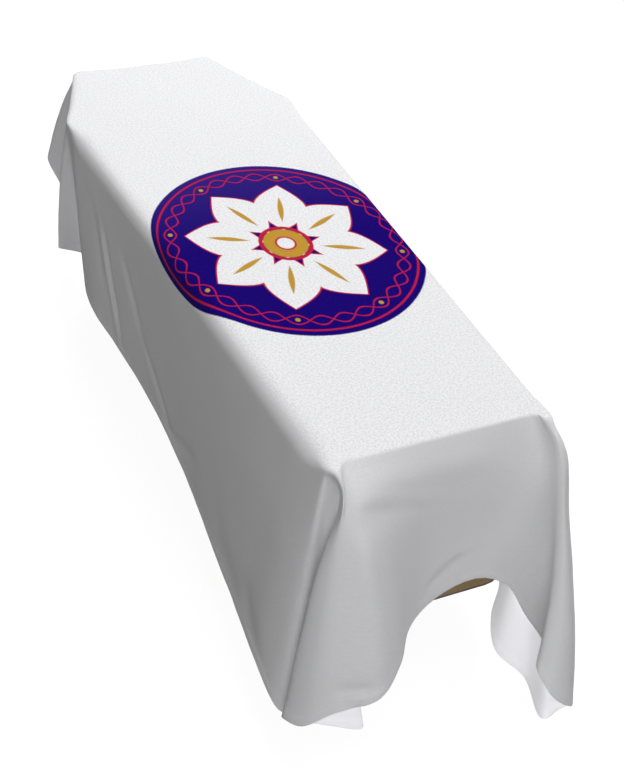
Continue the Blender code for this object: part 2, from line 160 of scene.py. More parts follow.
# Each row is one crest or hollow of the hanging cloth, in centimetres.
# corner, on:  the row starts on the top edge, this far before or past that corner
# x, y, drop:  where its hem hangs, from the middle of the top
# belly:       how far it bows out half way down
FOLDS = (
    # name                      corner  on      x       y    drop  belly
    ("foot arch, left",          "FL", -20.0,  -2.0,  -99.0, 42.0, 0.0),
    ("left swell starts",        "FL", -12.0,  -7.9, -103.0, 42.8, 0.6),
    ("left swell",               "FL",  -7.0, -12.5, -109.0, 45.3, 1.0),
    ("left swell crest",         "FL",  -4.6, -19.5, -114.0, 47.8, 1.2),
    ("left swell turns",         "FL",  -3.2, -28.6, -112.0, 50.5, 1.2),
    ("left fold, front",         "FL",  -2.0, -35.1, -108.5, 55.5, 0.8),
    ("left fold, edge",          "FL",  -1.1, -36.9, -104.5, 56.5, 0.4),
    ("left fold, turned in",     "FL",  -0.3, -31.2, -102.4, 62.4, 0.0),
    ("left hem, underneath",     "FL",   0.2, -25.7, -104.2, 64.2, 0.0),
    ("left corner of the cloth", "FL",   0.6, -18.0, -105.0, 67.0, 0.0),
    ("left corner, turned back", "FL",   1.4, -19.6, -101.0, 63.6, 0.0),
    ("left fold, inside",        "FL",   2.2, -26.0,  -99.0, 63.5, 0.0),
    ("side meets the fold",      "FL",   3.4, -35.0,  -99.8, 60.5, 0.2),
    ("left side, flare",         "FL",   9.0, -36.9,  -92.0, 56.0, 0.6),
    ("left side, knee",          "FL",  21.0, -35.3,  -75.4, 55.8, 0.6),
    ("left side, thigh",         "FL",  40.0, -33.4,  -56.0, 55.3, 0.3),
    ("left side, hip",           "FL",  73.0, -30.8,  -25.0, 53.5, 0.0),
    ("left side, waist",         "FL", 104.0, -30.0,    6.0, 51.8, 0.0),
    ("left side, elbow",         "FL", 128.0, -31.2,   30.0, 50.5, 0.2),
    ("left side, crease",        "SL", -19.0, -32.6,   46.0, 49.3, 0.4),
    ("left shoulder, front",     "SL",  -8.0, -32.2,   55.5, 48.6, 0.6),
    ("left shoulder, turned",    "SL",  -3.5, -29.5,   67.0, 48.5, 0.3),
    ("left shoulder, inside",    "SL",   0.0, -26.8,   78.5, 49.4, 0.0),
    ("left shoulder fold",       "SL",   3.0, -33.4,   79.5, 46.8, 0.8),
    ("behind that fold",         "SL",  10.0, -26.8,   88.0, 53.0, 0.2),
    ("left head, inside",        "HL",  -5.0, -23.5,   97.0, 60.0, 0.0),
    ("left head corner",         "HL",  -2.0, -20.5,  107.0, 65.0, 0.0),
    ("left head, edge",          "HL",   0.2, -23.0,  116.0, 46.0, 0.8),
    ("left head, swell",         "HL",   1.6, -25.2,  119.0, 35.5, 2.2),
    ("left head, swell turns",   "HL",   2.8, -22.6,  120.3, 35.0, 2.2),
    ("left head, swell ends",    "HL",   6.5, -11.5,  108.5, 38.0, 0.8),
    ("head, middle",             "HL",  17.0,  -2.0,   98.6, 39.8, 0.0),
    ("right head, swell starts", "HR",  -8.0,  10.0,  101.0, 40.0, 0.5),
    ("right head, swell",        "HR",  -3.0,  18.5,  113.5, 41.0, 1.2),
    ("right head, edge",         "HR",  -0.6,  27.5,  115.0, 47.5, 1.0),
    ("right head, turned in",    "HR",   0.8,  28.5,  107.0, 61.0, 0.2),
    ("right head corner",        "HR",   2.4,  25.5,  101.5, 66.5, 0.0),
    ("right head, inside",       "HR",   6.0,  25.8,   94.0, 62.0, 0.0),
    ("behind the shoulder",      "HR",  18.0,  29.8,   83.0, 56.5, 0.2),
    ("right shoulder fold",      "SR",  -7.0,  37.6,   73.5, 51.5, 0.7),
    ("right shoulder, front",    "SR",   5.0,  33.2,   58.0, 52.3, 0.3),
    ("right side, elbow",        "SR",  28.0,  33.6,   35.0, 53.3, 0.4),
    ("right side, waist",        "SR",  62.0,  30.4,    1.5, 54.3, 0.0),
    ("right side, hip",          "SR",  93.0,  30.8,  -29.0, 55.6, 0.4),
    ("right side, knee",         "SR", 120.0,  28.4,  -56.5, 57.0, 0.0),
    ("right side, hollow",       "FR", -12.0,  26.6,  -84.5, 58.6, 0.4),
    ("right side tucks under",   "FR",  -5.0,  20.8,  -91.4, 61.0, 2.2),
    ("right fold, inside",       "FR",  -2.8,  18.8,  -97.6, 64.8, 1.0),
    ("right fold, hollow",       "FR",  -1.8,  23.4, -103.6, 69.4, 1.4),
    ("right corner of the cloth", "FR", -1.0,  22.9, -114.8, 71.6, 1.6),
    ("right fold, turned in",    "FR",  -0.2,  26.8, -114.0, 71.0, 1.8),
    ("right fold, edge",         "FR",   0.6,  29.2, -114.8, 69.4, 1.6),
    ("right tip",                "FR",   1.3,  27.6, -116.9, 67.2, 1.6),
    ("right curl, front",        "FR",   2.0,  19.2, -118.0, 57.2, 1.4),
    ("right curl, edge",         "FR",   2.7,  17.9, -114.5, 52.7, 1.0),
    ("right curl, turned in",    "FR",   3.5,  22.8, -110.2, 53.3, 0.4),
    ("right flank",              "FR",   4.6,  22.0, -102.0, 50.4, 0.2),
    ("right flank ends",         "FR",   7.0,  18.5,  -98.6, 43.4, 0.0),
    ("foot arch, top",           "FR",  14.0,  13.0,  -97.8, 39.9, 0.0),
)

# Some rows don't hang straight. They stand off in x and y, in centimetres:
# jut:   just under the top edge
# sway:  half way down
BENDS = {
    # row                          jut x  jut y  sway x  sway y
    "left fold, front":            (0.8, -0.9, 0.0, 0.0),
    "left fold, edge":             (1.9, -1.1, 0.0, 0.0),
    "left fold, turned in":        (2.0, 0.1, 0.0, 0.0),
    "left hem, underneath":        (2.0, 0.3, 0.0, 0.0),
    "left corner of the cloth":    (2.0, 0.4, 0.0, 0.0),
    "left corner, turned back":    (1.4, 0.5, 0.0, 0.0),
    "left fold, inside":           (0.5, 0.3, 0.0, 0.0),
    "right fold, turned in":       (1.4, 0.0, 0.5, 0.0),
    "right fold, edge":            (1.8, -0.5, 0.9, 0.0),
    "right tip":                   (1.6, -0.8, 0.8, 0.0),
    "right curl, front":           (1.2, -0.6, 2.6, 0.4),
    "right curl, edge":            (1.0, -0.3, 3.2, 0.5),
    "right curl, turned in":       (1.0, 0.0, 1.8, 0.0),
    "right flank":                 (0.7, 0.0, 1.3, -0.6),
}
JUT_PART = 0.12         # share of the fall at which they jut out the most

# Each row is one soft crease pressed into the cloth, from one end to the other.
# x, y, drop in centimetres, its half-width in centimetres, and its height in millimetres;
# a trough has a height below zero.
CREASES = (
    # name                  x1      y1    drop1    x2      y2    drop2  width height
    ("side ridge",        (-31.3,  40.5,  12.0), (-31.4,  26.5,  51.0), 1.1,  4.5),
    ("beside the ridge",  (-31.3,  38.1,  12.0), (-31.4,  24.1,  51.0), 1.1, -4.5),
    ("head hollow",       (-31.3,  46.0,  10.0), (-31.4,  36.0,  40.0), 2.0, -2.5),
    ("long trough, high", (-30.1,  25.0,  14.0), (-29.9,   6.0,  39.5), 1.8, -4.0),
    ("long trough, low",  (-29.9,  10.0,  35.5), (-30.1, -15.0,  51.0), 1.5, -5.0),
    ("hem trough",        (-30.2,  -8.0,  52.0), (-30.8, -36.0,  42.5), 1.6, -5.0),
    ("knee hollow",       (-32.1, -50.0,  47.0), (-34.6, -74.0,  54.0), 4.2, -2.5),
    ("foot hollow",       (-34.2, -72.0,  46.0), (-35.8, -95.0,  56.0), 4.2, -4.0),
    ("foot roll",         (-27.0, -101.0,  3.2), ( 17.0, -98.5,  6.8), 4.0,  6.0),
    ("foot ridge, turn",  (-21.8, -101.4,  9.6), (-18.0, -100.0,  5.2), 1.3,  1.5),
    ("foot ridge",        (-23.0, -100.2,  5.0), (  4.0,  -97.0, 14.6), 1.4,  2.2),
    ("below that ridge",  (-22.0, -100.2,  7.4), (  3.0,  -97.2, 16.8), 1.4, -1.6),
    ("swell ridge",       (-21.4, -101.2,  8.0), (-17.5, -111.0, 40.0), 2.0,  3.0),
    ("arch trough",       ( -2.5,  -98.2, 39.0), (  8.0,  -97.5, 30.0), 1.4, -4.5),
    ("above the trough",  ( -3.5,  -98.2, 36.6), (  7.0,  -97.5, 27.6), 1.4,  2.0),
    ("right soft ridge",  ( 17.8,  -98.4, 38.0), ( 21.5,  -98.8,  5.0), 2.4,  4.0),
    ("swell dent",        (-29.5, -111.0, 45.4), (-19.5, -113.5, 45.0), 1.4, -5.0),
    ("below the dent",    (-28.0, -112.2, 47.2), (-22.5, -113.0, 50.6), 1.2, -4.0),
    ("top crease, head",  (  0.4,   97.4,  0.0), ( -2.8,   69.0,  0.0), 1.0,  2.0),
    ("top crease",        ( -2.6,   73.0,  0.0), ( -1.7,   33.0,  0.0), 1.0,  1.5),
    ("second top crease", ( -5.0,   95.0,  0.0), ( -8.0,   74.0,  0.0), 1.0,  1.0),
)
TAPER = 0.3             # share of a crease's length over which each end fades
# A crease is felt on the cloth only this near its line, along the cloth's normal
CREASE_REACH = 0.06

# Colours, linear
CLOTH_WHITE = (0.86, 0.86, 0.875)
# Painted shade: specks between the fibres are darker, most on faces turned up; the same darker tone
# also gives the cloth's random cloudy patches.
PILE_SHADE = 0.81       # how much darker the cloth is between its fibres
INSIDE_WHITE = (0.87, 0.87, 0.90)
BLUE = (0.008, 0.0, 0.148)
# Painted sheen: the medallion's blue is lighter towards the head end.
BLUE_PAINTED_SHEEN = (0.055, 0.028, 0.23)
BLUE_LIGHT = (0.048, 0.020, 0.26)
RED = (0.48, 0.012, 0.045)
GOLD = (0.50, 0.28, 0.035)
THREAD = (0.78, 0.78, 0.80)
# Painted light: the inside of the cloth glows by itself in its own colour, standing in for light that
# comes through the thin cloth.
INSIDE_PAINTED_GLOW = 0.38      # light that comes through to the inside of the cloth
COFFIN_WOOD = ((0.26, 0.165, 0.034), (0.18, 0.105, 0.019))
# Painted shade: a dark band along the coffin's lower edge, where the shade under it falls.
EDGE_PAINTED_SHADE = (0.045, 0.022, 0.012)       # along the coffin's lower edge
EDGE_SHADE_BAND = 0.006
REST_WOOD = ((0.22, 0.12, 0.05), (0.10, 0.055, 0.022))
RING_SCALE = (9.0, 0.8)         # across the grain and along it
FIBRE_SCALE = (320.0, 9.0)

# The floor glows, so that it is as pale as the background behind it
FLOOR = (0.10, 0.10, 0.10)
FLOOR_GLOW = 0.94
FLOOR_SIZE = 60.0
WORLD_STRENGTH = 0.95

# Each light's direction, its strength and how wide it is, in degrees
LIGHTS = (
    ("key light", (0.25, 0.42, 0.87), 2.22, 36.0),
    ("top light", (0.0, -0.42, 0.91), 0.58, 36.0),
    ("front light", (0.45, -0.78, 0.42), 0.64, 40.0),
    ("left light", (-0.78, -0.45, 0.42), 0.51, 40.0),
    ("low light", (-0.50, -0.86, 0.09), 0.82, 30.0),
    ("right light", (0.71, 0.0, 0.71), 0.18, 36.0),
)
# A small light over the head's right side, from the middle of the top
HEAD_LIGHT_POWER = 7.0
HEAD_LIGHT_SIZE = 1.2
HEAD_LIGHT_PLACE = (0.9, 1.5, 1.6)
HEAD_LIGHT_DIRECTION = (0.7, 0.9, 1.6)


def corner_shapes(sharp):
    """Return each corner's place, its two edge directions, its turn and where it starts."""
    shapes = []
    walked = 0.0
    for i, name in enumerate(ORDER):
        here = sharp[i]
        after = sharp[(i + 1) % len(sharp)] - here
        before = here - sharp[i - 1]
        shapes.append({
            "name": name,
            "place": here,
            "before": before.normalized(),
            "after": after.normalized(),
            "turn": before.angle(after),
            "start": walked,
            "length": after.length,
        })
        walked += after.length
    return shapes, walked


SHAPES, AROUND = corner_shapes([Vector(CORNERS[name]) + Vector(SKEW[name]) for name in ORDER])
STARTS = {shape["name"]: shape["start"] for shape in SHAPES}


def outward(direction):
    """Return the direction that points away from the coffin, left of the way round."""
    return Vector((-direction.y, direction.x))


def edge_place(distance):
    """Return the place at a distance round the drape's top outline, and the way out."""
    nearest = None
    for shape in SHAPES:
        off = (distance - shape["start"] + AROUND / 2) % AROUND - AROUND / 2
        reach = CORNER_RADIUS * math.tan(shape["turn"] / 2)
        if abs(off) <= reach:
            angle = shape["turn"] * (off / reach + 1) / 2
            first = outward(shape["before"])
            centre = shape["place"] - shape["before"] * reach - first * CORNER_RADIUS
            out = Vector((
                first.x * math.cos(angle) + first.y * math.sin(angle),
                first.y * math.cos(angle) - first.x * math.sin(angle),
            ))
            return centre + out * CORNER_RADIUS, out
        if off > 0 and (nearest is None or off < nearest[0]):
            nearest = (off, shape)
    off, shape = nearest
    return shape["place"] + shape["after"] * off, outward(shape["after"])


def edge_bend(distance):
    """Return the setback, run and ease of the cloth's bend at a distance round."""
    corner = (CORNER_SETBACK, CORNER_RUN, CORNER_EASE)
    for shape in SHAPES:
        off = (distance - shape["start"]) % AROUND
        if off < shape["length"]:
            own = EDGES[shape["name"]]
            near = min(off, shape["length"] - off, own[3]) / own[3]
            full = near * near * (3 - 2 * near)
            return [a + (b - a) * full for a, b in zip(corner, own)]
    return corner


def slopes(places, values, wrap, even):
    """Return the slope at each value of a series that closes on itself after the wrap."""
    count = len(values)
    result = []
    for i in range(count):
        gap_before = places[i] - places[i - 1] if i else places[count] - places[count - 1]
        gap_after = places[i + 1] - places[i]
        last = values[i - 1] if i else values[-1] - wrap
        following = values[i + 1] if i + 1 < count else values[0] + wrap
        before = (values[i] - last) / gap_before
        after = (following - values[i]) / gap_after
        if not even:
            result.append((before * gap_after + after * gap_before) / (gap_before + gap_after))
        elif before * after > 0:
            result.append(2 * before * after / (before + after))
        else:
            result.append(0.0)
    return result


def smooth_series(places, values, wrap=0.0, even=False):
    """Return a function that runs smoothly through the values of a closed series."""
    tilt = slopes(places, values, wrap, even)
    count = len(values)

    def value(i, part):
        gap = places[i + 1] - places[i]
        j = (i + 1) % count
        end = values[j] + (wrap if j == 0 else 0.0)
        square = part * part
        cube = square * part
        return (values[i] * (2 * cube - 3 * square + 1) + tilt[i] * gap * (cube - 2 * square + part)
                + end * (3 * square - 2 * cube) + tilt[j] * gap * (cube - square))

    return value


def columns():
    """Return the cloth's columns, one after the other all the way round."""
    edge = [STARTS[corner] + on / 100 for _, corner, on, _, _, _, _ in FOLDS]
    edge = [edge[0] + (place - edge[0]) % AROUND for place in edge]
    hems = [Vector((x, y, -drop)) / 100 for _, _, _, x, y, drop, _ in FOLDS]
    places = [0.0]
    for i, hem in enumerate(hems):
        places.append(places[-1] + (hems[(i + 1) % len(hems)] - hem).length)
    along = smooth_series(places, edge, AROUND, True)
    across = [smooth_series(places, [hem[axis] for hem in hems]) for axis in range(3)]
    bow = smooth_series(places, [row[6] / 100 for row in FOLDS], 0.0, True)
    bends = [BENDS.get(row[0], (0.0, 0.0, 0.0, 0.0)) for row in FOLDS]
    bend = [smooth_series(places, [row[axis] / 100 for row in bends], 0.0, True) for axis in range(4)]
    closed = edge + [edge[0] + AROUND]
    result = []
    for i in range(len(FOLDS)):
        hem_run = places[i + 1] - places[i]
        edge_run = closed[i + 1] - closed[i]
        at_corner = any((closed[i] - start) % AROUND < FINE_REACH
                        or (start - closed[i + 1]) % AROUND < FINE_REACH
                        or (start - closed[i]) % AROUND < edge_run
                        for start in STARTS.values())
        plain = edge_run > BUNCHED * hem_run and not at_corner
        creased = hems[i].x < CREASED_SIDE[0] and hems[i].y < CREASED_SIDE[1]
        count = max(1, round(hem_run / (PLAIN_STEP if plain and not creased else FINE_STEP)))
        for k in range(count):
            part = k / count
            distance = along(i, part)
            place, out = edge_place(distance)
            setback, run, ease = edge_bend(distance)
            result.append({
                "start": place.to_3d(),
                "out": out.to_3d(),
                "reach": Vector([axis(i, part) for axis in across]) - place.to_3d(),
                "belly": bow(i, part),
                "jut": Vector((bend[0](i, part), bend[1](i, part), 0.0)),
                "sway": Vector((bend[2](i, part), bend[3](i, part), 0.0)),
                "setback": setback,
                "run": run,
                "ease": ease,
                "along": places[i] + hem_run * part,
            })
    return result


def ramp(t, ease):
    """Return 0 well before the edge and t well past it, with a soft bend between the two."""
    if t <= -ease:
        return 0.0
    if t >= ease:
        return t
    return (t + ease) ** 2 / (4 * ease)


def turn_down(t, setback, run):
    """Return how far out and how far down the cloth is, t metres past its bend."""
    steep = 2 * setback / run

    def under(y):
        return (y * math.sqrt(1 - y * y) + math.asin(y)) / 2

    left = max(0.0, 1 - t / run)
    out = setback * (1 - left * left)
    down = run / steep * (under(steep) - under(steep * left)) + max(0.0, t - run)
    return out, down


def cloth_point(column, t):
    """Return the place of the cloth in a column, t metres past its bend."""
    out, down = turn_down(ramp(t, column["ease"]), column["setback"], column["run"])
    part = down / column["reach"].length
    swell = 4 * part * (1 - part)
    sideways = column["belly"] * swell + out - column["setback"] - ramp(-t, column["ease"])
    juts = (part / JUT_PART * math.exp(1 - part / JUT_PART)) ** 2
    place = column["start"] + column["reach"] * part + column["out"] * sideways
    return place + column["jut"] * juts + column["sway"] * swell


def hem_place(column):
    """Return how far past the bend the hem lies in a column."""
    run = column["run"]
    return column["reach"].length + run - turn_down(run, column["setback"], run)[1]


def row_places(column):
    """Return how far past the bend each row of the cloth lies in a column."""
    ease = column["ease"]
    turned = max(column["run"], ease + TURN_LEAST)
    hem = hem_place(column)
    fold = hem - HEM_WIDTH
    rows = [ease * (2 * k / BEND_ROWS - 1) for k in range(BEND_ROWS + 1)]
    rows += [ease + (turned - ease) * k / TURN_ROWS for k in range(1, TURN_ROWS + 1)]
    rows += [turned + (fold - turned) * k / HANG_ROWS for k in range(1, HANG_ROWS + 1)]
    return rows + [fold + HEM_STEP, (fold + hem) / 2, hem - HEM_STEP, hem]


def crossings_at(ring, y):
    """Return where a ring's sides cross a line across it, from low to high."""
    found = []
    for a, b in zip(ring, ring[1:] + ring[:1]):
        if (a.y <= y) != (b.y <= y):
            found.append(a.x + (b.x - a.x) * (y - a.y) / (b.y - a.y))
    return sorted(found)


def encloses(ring, place):
    """Return whether a place lies inside a ring."""
    before = [x for x in crossings_at(ring, place.y) if x < place.x]
    return len(before) % 2 == 1


def top_points(ring):
    """Return staggered places inside a ring, clear of it by the top's margin."""
    points = []
    rise = TOP_STEP * math.sqrt(3) / 2
    for j in range(int(LENGTH / rise) + 1):
        y = -HALF + j * rise
        crossings = crossings_at(ring, y)
        for low, high in zip(crossings[::2], crossings[1::2]):
            width = high - low - 2 * TOP_MARGIN
            if width <= 0:
                continue
            steps = max(1, round(width / TOP_STEP))
            for k in range(steps + 1):
                share = min(1.0, (k + j % 2 / 2) / steps)
                points.append(Vector((low + TOP_MARGIN + width * share, y)))
    return points


def crease_height(place, normal):
    """Return how far the creases lift the cloth at a place, in metres."""
    lift = 0.0
    for _, first, last, width, height in CREASES:
        start = Vector((first[0], first[1], -first[2])) / 100
        end = Vector((last[0], last[1], -last[2])) / 100
        near, part = intersect_point_line(place, start, end)
        if not 0 < part < 1:
            continue
        gap = place - near
        away = gap.dot(normal)
        if abs(away) > CREASE_REACH:
            continue
        off = (gap - normal * away).length / (width / 100)
        if off > 3:
            continue
        fade = min(1.0, part / TAPER, (1 - part) / TAPER)
        lift += height / 1000 * math.exp(-off * off) * fade * fade * (3 - 2 * fade)
    return lift


def unevenness(place):
    """Return how far the cloth's slight unevenness lifts it at a place, in metres."""
    (broad_rate, broad_height), (small_rate, small_height) = UNEVEN
    broad = noise.noise(place * broad_rate)
    small = noise.noise(place * small_rate + Vector((3.1, 0.7, 5.3)))
    return broad_height * broad + small_height * small


def drape_sheet():
    """Build the drape as one sheet with its flat places and its hem band."""
    sheet = columns()
    rows = [row_places(column) for column in sheet]
    around, down = len(sheet), len(rows[0])
    bm = bmesh.new()
    flat = {}
    hem = {}
    grid = []
    for i, column in enumerate(sheet):
        line = []
        for t in rows[i]:
            place = cloth_point(column, t)
            if column["run"] > PINCH_RUN:
                share = (column["run"] - PINCH_RUN) / PINCH_RUN
                place.z += PINCH_HEIGHT * min(1.0, share) * math.exp(-(t / PINCH_WIDTH) ** 2)
            vert = bm.verts.new(place)
            flat_place = column["start"] + column["out"] * (t - column["setback"])
            flat[vert] = (flat_place.x, flat_place.y)
            hem[vert] = (column["along"], rows[i][-1] - t)
            line.append(vert)
        grid.append(line)
    ring = [Vector((line[0].co.x, line[0].co.y)) for line in grid]
    inner = top_points(ring)
    rim = [(i, (i + 1) % around) for i in range(around)]
    found = delaunay_2d_cdt(ring + inner, rim, [], 1, 1e-7, True)
    verts = []
    for place, sources in zip(found[0], found[3]):
        if sources and sources[0] < around:
            verts.append(grid[sources[0]][0])
        else:
            vert = bm.verts.new((place.x, place.y, 0.0))
            flat[vert] = (place.x, place.y)
            hem[vert] = (0.0, 1.0)
            verts.append(vert)
    rim_verts = {line[0] for line in grid}
    for face in found[2]:
        corners = [verts[k] for k in face]
        middle = sum((vert.co for vert in corners), Vector()) / len(corners)
        if rim_verts.issuperset(corners) and not encloses(ring, middle):
            continue
        bm.faces.new(corners)
    for i in range(around):
        after = (i + 1) % around
        for j in range(down - 1):
            bm.faces.new((grid[i][j], grid[i][j + 1], grid[after][j + 1], grid[after][j]))
    bm.verts.index_update()
    bmesh.ops.recalc_face_normals(bm, faces=bm.faces)
    top = max(bm.faces, key=lambda f: f.calc_center_median().z)
    if top.normal.z < 0:
        bmesh.ops.reverse_faces(bm, faces=bm.faces)
    bm.normal_update()
    moved = {}
    for vert in bm.verts:
        lift = crease_height(vert.co, vert.normal)
        uneven = unevenness(vert.co)
        if vert.co.z > -TOP_SKIN:
            lift = max(0.0, lift) + UNEVEN_TOP * abs(uneven)
        else:
            lift += uneven * min(1.0, -vert.co.z / UNEVEN_FROM)
        moved[vert] = vert.co + vert.normal * lift
    for vert, place in moved.items():
        vert.co = place
    flat_layer = bm.loops.layers.uv.new("Flat")
    hem_layer = bm.loops.layers.uv.new("Hem")
    for face in bm.faces:
        lengths = [hem[loop.vert][0] for loop in face.loops]
        wraps = max(lengths) - min(lengths) > 1.0
        for loop in face.loops:
            loop[flat_layer].uv = flat[loop.vert]
            run, off = hem[loop.vert]
            if wraps and run < 1.0:
                run += sheet[-1]["along"]
            loop[hem_layer].uv = (run, off)
        face.smooth = True
    band = [vert.index for vert in bm.verts if hem[vert][1] < HEM_WIDTH - HEM_STEP / 2]
    mesh = bpy.data.meshes.new("drape_cloth")
    bm.to_mesh(mesh)
    bm.free()
    return mesh, band


class Tree:
    """One material's nodes, added with short calls."""

    def __init__(self, name):
        self.material = bpy.data.materials.new(name)
        self.material.use_nodes = True
        self.nodes = self.material.node_tree.nodes
        self.links = self.material.node_tree.links
        self.shader = self.nodes["Principled BSDF"]

    def set(self, socket, value):
        """Link a socket to another one, or give it a value."""
        if isinstance(value, bpy.types.NodeSocket):
            self.links.new(value, socket)
        elif isinstance(value, tuple) and len(value) == 3 and len(socket.default_value) == 4:
            socket.default_value = (*value, 1.0)
        else:
            socket.default_value = value

    def shade(self, **values):
        """Set the shader's inputs by name, with _ for a space."""
        for name, value in values.items():
            self.set(self.shader.inputs[name.replace("_", " ")], value)

    def math(self, operation, *values):
        node = self.nodes.new("ShaderNodeMath")
        node.operation = operation
        for socket, value in zip(node.inputs, values):
            self.set(socket, value)
        return node.outputs[0]

    def step(self, value, low, high):
        """Return 0 below low and 1 above high, or the other way round, softly between."""
        node = self.nodes.new("ShaderNodeMapRange")
        node.interpolation_type = "SMOOTHSTEP"
        self.set(node.inputs["Value"], value)
        rising = high >= low
        node.inputs["From Min"].default_value = low if rising else high
        node.inputs["From Max"].default_value = high if rising else low
        node.inputs["To Min"].default_value = 0.0 if rising else 1.0
        node.inputs["To Max"].default_value = 1.0 if rising else 0.0
        return node.outputs["Result"]

    def mix(self, factor, first, second):
        node = self.nodes.new("ShaderNodeMix")
        node.data_type = "RGBA"
        self.set(node.inputs["Factor"], factor)
        self.set(node.inputs[6], first)
        self.set(node.inputs[7], second)
        return node.outputs[2]

    def noise(self, vector, scale, detail=2.0, rough=0.5):
        node = self.nodes.new("ShaderNodeTexNoise")
        self.set(node.inputs["Vector"], vector)
        node.inputs["Scale"].default_value = scale
        node.inputs["Detail"].default_value = detail
        node.inputs["Roughness"].default_value = rough
        return node.outputs["Fac"]

    def uv(self, name):
        node = self.nodes.new("ShaderNodeUVMap")
        node.uv_map = name
        return node.outputs["UV"]

    def split(self, vector):
        node = self.nodes.new("ShaderNodeSeparateXYZ")
        self.set(node.inputs[0], vector)
        return node.outputs["X"], node.outputs["Y"], node.outputs["Z"]

    def stretch(self, vector, scale):
        node = self.nodes.new("ShaderNodeMapping")
        self.set(node.inputs["Vector"], vector)
        node.inputs["Scale"].default_value = scale
        return node.outputs[0]

    def bump(self, height, strength, distance, normal=None):
        node = self.nodes.new("ShaderNodeBump")
        node.inputs["Strength"].default_value = strength
        node.inputs["Distance"].default_value = distance
        self.set(node.inputs["Height"], height)
        if normal is not None:
            self.set(node.inputs["Normal"], normal)
        return node.outputs["Normal"]


def medallion(tree, flat, cloth):
    """Return the cloth's colour with the medallion's rosette printed on it."""
    x, y, _ = tree.split(flat)
    fuzz = tree.math("MULTIPLY", tree.math("SUBTRACT", tree.noise(flat, 420.0), 0.5), 0.010)
    px = tree.math("DIVIDE", tree.math("SUBTRACT", x, MEDALLION_PLACE[0]), MEDALLION_RADII[0])
    py = tree.math("DIVIDE", tree.math("SUBTRACT", y, MEDALLION_PLACE[1]), MEDALLION_RADII[1])
    squares = tree.math("ADD", tree.math("MULTIPLY", px, px), tree.math("MULTIPLY", py, py))
    radius = tree.math("ADD", tree.math("SQRT", squares), fuzz)
    angle = tree.math("ARCTAN2", py, px)
    wedge = 2 * math.pi / PETALS
    turned = tree.math("SUBTRACT", tree.math("WRAP", angle, wedge, 0.0), wedge / 2)
    out = tree.math("MULTIPLY", radius, tree.math("COSINE", turned))
    side = tree.math("ABSOLUTE", tree.math("MULTIPLY", radius, tree.math("SINE", turned)))

    def line(distance, half):
        return tree.step(tree.math("ABSOLUTE", distance), half + SOFT, half - SOFT)

    def ring(place, half):
        return line(tree.math("SUBTRACT", radius, place), half)

    def disc(size):
        return tree.step(radius, size + SOFT, size - SOFT)

    def leaf(first, last, width):
        part = tree.math("DIVIDE", tree.math("SUBTRACT", out, first), last - first)
        held = tree.math("MINIMUM", tree.math("MAXIMUM", part, 0.0), 1.0)
        beyond = tree.math("ABSOLUTE", tree.math("SUBTRACT", part, held))
        swell = tree.math("SINE", tree.math("MULTIPLY", held, math.pi))
        inner = tree.math("SUBTRACT", tree.math("MULTIPLY", swell, width), side)
        return tree.math("SUBTRACT", inner, beyond)

    def dot(place, size):
        dx = tree.math("SUBTRACT", out, place)
        far = tree.math("SQRT", tree.math("ADD", tree.math("MULTIPLY", dx, dx),
                                          tree.math("MULTIPLY", side, side)))
        return tree.step(far, size + SOFT, size - SOFT)

    grain = tree.step(tree.noise(flat, 260.0, 3.0, 0.7), 0.48, 0.74)
    # Painted sheen: the blue turns lighter towards the head end of the top.
    far = tree.math("MULTIPLY", tree.step(y, -0.15, 0.35), 0.5)
    colour = tree.mix(tree.math("MULTIPLY", grain, 0.30), tree.mix(far, BLUE, BLUE_PAINTED_SHEEN), BLUE_LIGHT)
    colour = tree.mix(ring(*RIM_LINE), colour, RED)
    turns = tree.math("COSINE", tree.math("MULTIPLY", angle, PETALS * 2))
    wave = tree.math("MULTIPLY", turns, WAVE_SWING)
    for sign in (-1, 1):
        reach = tree.math("ADD", tree.math("MULTIPLY", wave, sign), WAVE_RADIUS)
        colour = tree.mix(ring(reach, WAVE_HALF), colour, RED)
    petal = leaf(*PETAL)
    colour = tree.mix(tree.step(petal, -SOFT, SOFT), colour, cloth)
    colour = tree.mix(line(petal, PETAL_HALF), colour, RED)
    colour = tree.mix(tree.step(leaf(*VEIN), -SOFT, SOFT), colour, GOLD)
    colour = tree.mix(ring(*HEART_LINE), colour, RED)
    colour = tree.mix(disc(HEART), colour, GOLD)
    colour = tree.mix(disc(EYE), colour, cloth)
    colour = tree.mix(ring(*EYE_LINE), colour, RED)
    colour = tree.mix(dot(WAVE_RADIUS, DOT_SIZE), colour, GOLD)
    return tree.mix(tree.step(radius, 1.0 - SOFT, 1.0 + SOFT), colour, cloth)


def weave_height(tree, flat):
    """Return the height of the cloth's fine knit, 0 to 1."""
    x, y, _ = tree.split(flat)
    wales = tree.math("SINE", tree.math("MULTIPLY", x, 2 * math.pi / KNIT[0]))
    courses = tree.math("SINE", tree.math("MULTIPLY", y, 2 * math.pi / KNIT[1]))
    knit = tree.math("MULTIPLY", wales, courses)
    pile = tree.noise(flat, 520.0, 3.0, 0.65)
    return tree.math("ADD", tree.math("MULTIPLY", knit, 0.18), pile)


